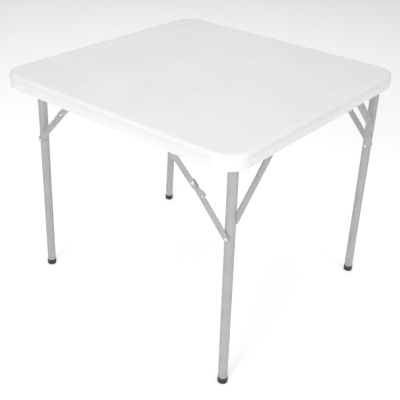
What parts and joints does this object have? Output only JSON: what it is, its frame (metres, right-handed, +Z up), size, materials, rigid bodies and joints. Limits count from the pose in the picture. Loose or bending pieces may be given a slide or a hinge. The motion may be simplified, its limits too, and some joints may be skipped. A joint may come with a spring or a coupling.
{
  "type": "folding table",
  "caption": "Square folding picnic table with a moulded white top and two grey tubular leg frames on locking folding braces.",
  "frame": {"origin": "on the floor under the middle of the square top, with the table set up", "axes": "+Z up; +X along the hinge lines of both leg frames; +Y from the wide frame's side to the narrow frame's side"},
  "size_m": [0.86, 0.86, 0.74],
  "materials": {
    "moulded_white": "blow-moulded polyethylene with a fine pebble grain",
    "grey_powder_coat": "light grey powder coat on steel tube and strip",
    "dark_rubber": "dark grey moulded foot caps",
    "grey_plastic": "moulded plugs",
    "zinc_steel": "bright zinc-plated steel"
  },
  "bodies": {
    "top_assembly": {"tabletop": "moulded_white", "wide_hinge_strap_left": "zinc_steel", "wide_hinge_strap_right": "zinc_steel", "narrow_hinge_strap_left": "zinc_steel", "narrow_hinge_strap_right": "zinc_steel", "wide_brace_bracket_left": "zinc_steel", "wide_brace_bracket_right": "zinc_steel", "narrow_brace_bracket_left": "zinc_steel", "narrow_brace_bracket_right": "zinc_steel", "bracket_rivets": "zinc_steel", "strap_screws": "zinc_steel", "bracket_screws": "zinc_steel"},
    "wide_frame": {"wide_crossbar": "grey_powder_coat", "wide_leg_left": "grey_powder_coat", "wide_leg_right": "grey_powder_coat", "wide_foot_left": "dark_rubber", "wide_foot_right": "dark_rubber", "wide_crossbar_plugs": "grey_plastic", "wide_leg_rivets": "zinc_steel", "wide_leg_washers": "zinc_steel", "wide_strut_left": "grey_powder_coat", "wide_strut_right": "grey_powder_coat"},
    "wide_lower_link_left": {"wide_lower_link_left": "grey_powder_coat", "wide_joint_stud_left": "zinc_steel"},
    "wide_upper_link_left": {"wide_upper_link_left": "grey_powder_coat", "wide_joint_rivet_left": "zinc_steel"},
    "wide_lower_link_right": {"wide_lower_link_right": "grey_powder_coat", "wide_joint_stud_right": "zinc_steel"},
    "wide_upper_link_right": {"wide_upper_link_right": "grey_powder_coat", "wide_joint_rivet_right": "zinc_steel"},
    "narrow_frame": {"narrow_crossbar": "grey_powder_coat", "narrow_leg_left": "grey_powder_coat", "narrow_leg_right": "grey_powder_coat", "narrow_foot_left": "dark_rubber", "narrow_foot_right": "dark_rubber", "narrow_crossbar_plugs": "grey_plastic", "narrow_leg_rivets": "zinc_steel", "narrow_leg_washers": "zinc_steel", "narrow_gusset_left": "grey_powder_coat", "narrow_gusset_right": "grey_powder_coat"},
    "narrow_lower_link_left": {"narrow_lower_link_left": "grey_powder_coat", "narrow_joint_stud_left": "zinc_steel"},
    "narrow_upper_link_left": {"narrow_upper_link_left": "grey_powder_coat", "narrow_joint_rivet_left": "zinc_steel"},
    "narrow_lower_link_right": {"narrow_lower_link_right": "grey_powder_coat", "narrow_joint_stud_right": "zinc_steel"},
    "narrow_upper_link_right": {"narrow_upper_link_right": "grey_powder_coat", "narrow_joint_rivet_right": "zinc_steel"}
  },
  "joints": [
    {"name": "wide_frame_fold", "type": "hinge", "parent": "top_assembly", "child": "wide_frame", "pos_m": [0, -0.388, 0.705], "axis": [1, 0, 0], "range_deg": [0, 91]},
    {"name": "wide_leg_pivot_left", "type": "hinge", "parent": "wide_frame", "child": "wide_lower_link_left", "pos_m": [-0.386, -0.3917, 0.49303], "axis": [1, 0, 0], "range_deg": [-138.2, 0]},
    {"name": "wide_top_pivot_left", "type": "hinge", "parent": "top_assembly", "child": "wide_upper_link_left", "pos_m": [-0.3907, -0.16219, 0.7095], "axis": [1, 0, 0], "range_deg": [0, 139.19]},
    {"name": "wide_leg_pivot_right", "type": "hinge", "parent": "wide_frame", "child": "wide_lower_link_right", "pos_m": [0.386, -0.3917, 0.49303], "axis": [1, 0, 0], "range_deg": [-138.2, 0]},
    {"name": "wide_top_pivot_right", "type": "hinge", "parent": "top_assembly", "child": "wide_upper_link_right", "pos_m": [0.3907, -0.16219, 0.7095], "axis": [1, 0, 0], "range_deg": [0, 139.19]},
    {"name": "narrow_frame_fold", "type": "hinge", "parent": "top_assembly", "child": "narrow_frame", "pos_m": [0, 0.388, 0.7072], "axis": [-1, 0, 0], "range_deg": [0, 92.1]},
    {"name": "narrow_leg_pivot_left", "type": "hinge", "parent": "narrow_frame", "child": "narrow_lower_link_left", "pos_m": [-0.33, 0.39577, 0.49534], "axis": [-1, 0, 0], "range_deg": [-138.6, 0]},
    {"name": "narrow_top_pivot_left", "type": "hinge", "parent": "top_assembly", "child": "narrow_upper_link_left", "pos_m": [-0.3347, 0.16303, 0.7095], "axis": [-1, 0, 0], "range_deg": [0, 140.73]},
    {"name": "narrow_leg_pivot_right", "type": "hinge", "parent": "narrow_frame", "child": "narrow_lower_link_right", "pos_m": [0.33, 0.39577, 0.49534], "axis": [-1, 0, 0], "range_deg": [-138.6, 0]},
    {"name": "narrow_top_pivot_right", "type": "hinge", "parent": "top_assembly", "child": "narrow_upper_link_right", "pos_m": [0.3347, 0.16303, 0.7095], "axis": [-1, 0, 0], "range_deg": [0, 140.73]}
  ],
  "couplings": [
    {"joint": "wide_leg_pivot_left", "follows": "wide_frame_fold", "ratio": -1.5181},
    {"joint": "wide_top_pivot_left", "follows": "wide_frame_fold", "ratio": 1.5291},
    {"joint": "wide_leg_pivot_right", "follows": "wide_frame_fold", "ratio": -1.5181},
    {"joint": "wide_top_pivot_right", "follows": "wide_frame_fold", "ratio": 1.5291},
    {"joint": "narrow_leg_pivot_left", "follows": "narrow_frame_fold", "ratio": -1.5044},
    {"joint": "narrow_top_pivot_left", "follows": "narrow_frame_fold", "ratio": 1.5274},
    {"joint": "narrow_leg_pivot_right", "follows": "narrow_frame_fold", "ratio": -1.5044},
    {"joint": "narrow_top_pivot_right", "follows": "narrow_frame_fold", "ratio": 1.5274}
  ]
}
